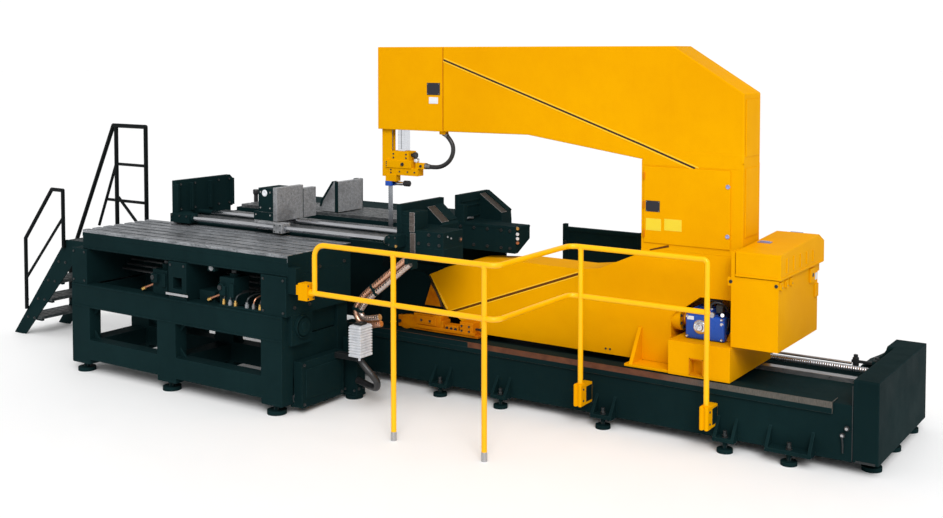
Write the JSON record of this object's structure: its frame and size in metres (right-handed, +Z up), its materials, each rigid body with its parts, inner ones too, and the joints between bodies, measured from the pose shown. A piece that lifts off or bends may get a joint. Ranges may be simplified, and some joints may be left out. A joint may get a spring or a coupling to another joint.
{
  "type": "vertical band saw",
  "caption": "Travelling-frame vertical band saw: C-shaped frame on a long bed, T-slot table, clamping lanes with jaws, guard rail and access stair.",
  "frame": {"origin": "middle of the footprint, on the floor", "axes": "+X along the bed towards its end block, +Z up, -Y towards the T-slot table and guard rail"},
  "size_m": [6.752, 2.3978, 2.31],
  "materials": {
    "dark_paint": "semi-gloss dark teal-black enamel",
    "orange_paint": "semi-gloss orange-yellow enamel",
    "rail_paint": "gloss yellow enamel",
    "ground_steel": "ground and worn",
    "chrome_steel": "hard chrome, polished",
    "grey_iron": "machined grey iron",
    "way_steel": "ground way, oily",
    "band_steel": "rolled band steel",
    "blue_paint": "gloss blue enamel",
    "hose_rubber": "smooth black rubber",
    "conduit_metal": "flexible metal",
    "canister_white": "ribbed, satin"
  },
  "bodies": {
    "base": {"saw_bed": "dark_paint", "front_way": "way_steel", "rear_way": "ground_steel", "end_block": "dark_paint", "feed_screw": "ground_steel", "screw_bearings": "dark_paint", "bed_feet": "dark_paint", "stand_front_frame": "dark_paint", "stand_rear_frame": "dark_paint", "stand_cross_rails": "dark_paint", "stand_feet": "dark_paint", "table_supports": "dark_paint", "table_plate": "dark_paint", "table_lands": "ground_steel", "valve_blocks": "dark_paint", "side_units": "dark_paint", "front_lane_beam": "dark_paint", "rear_lane_beam": "dark_paint", "lane_legs": "dark_paint", "lane_strips": "ground_steel", "jaw_rods": "chrome_steel", "ribbed_end_plate": "dark_paint", "front_fixed_jaw": "dark_paint", "rear_fixed_jaw": "dark_paint", "rear_guard_panel": "dark_paint", "splash_panel": "dark_paint", "canister_post": "dark_paint", "stair_stringers": "dark_paint", "stair_treads": "dark_paint", "low_handrail": "dark_paint", "high_handrail": "dark_paint", "guard_rail_front": "rail_paint", "guard_rail_side": "rail_paint", "guard_rail_rear": "rail_paint", "rail_brackets": "orange_paint", "conduit": "conduit_metal", "filter_canister": "canister_white"},
    "guide": {"guide_post": "chrome_steel", "guide_head": "orange_paint", "guide_rollers": "blue_paint", "guide_knobs": "chrome_steel", "band_guard": "orange_paint"},
    "door": {"column_door": "orange_paint"},
    "lid": {"cabinet_lid": "orange_paint"},
    "front_jaw": {"front_sliding_jaw": "grey_iron"},
    "rear_jaw": {"rear_sliding_jaw": "grey_iron"},
    "saw_frame": {"saddle": "orange_paint", "lower_arm": "orange_paint", "column": "orange_paint", "column_front": "orange_paint", "upper_arm": "orange_paint", "head_housing": "orange_paint", "head_cover": "orange_paint", "drive_gearbox": "blue_paint", "drive_hub": "chrome_steel", "rear_cabinet": "orange_paint", "band": "band_steel", "lower_wheel_guard": "dark_paint", "lower_guide": "orange_paint", "guide_hose": "hose_rubber"}
  },
  "joints": [
    {"name": "saw_travel", "type": "slide", "parent": "base", "child": "saw_frame", "axis": [-1, 0, 0], "range_m": [-0.6, 0.69]},
    {"name": "guide_height", "type": "slide", "parent": "saw_frame", "child": "guide", "axis": [0, 0, 1], "range_m": [-0.12, 0.12]},
    {"name": "front_jaw_slide", "type": "slide", "parent": "base", "child": "front_jaw", "axis": [1, 0, 0], "range_m": [-0.6, 0.85]},
    {"name": "rear_jaw_slide", "type": "slide", "parent": "base", "child": "rear_jaw", "axis": [1, 0, 0], "range_m": [-0.8, 0.95]},
    {"name": "column_door_hinge", "type": "hinge", "parent": "saw_frame", "child": "door", "pos_m": [1.931, -0.065, 1.355], "axis": [0, 0, -1], "range_deg": [0, 105]},
    {"name": "cabinet_lid_hinge", "type": "hinge", "parent": "saw_frame", "child": "lid", "pos_m": [2.686, 0.593, 1], "axis": [-1, 0, 0], "range_deg": [0, 85]}
  ]
}
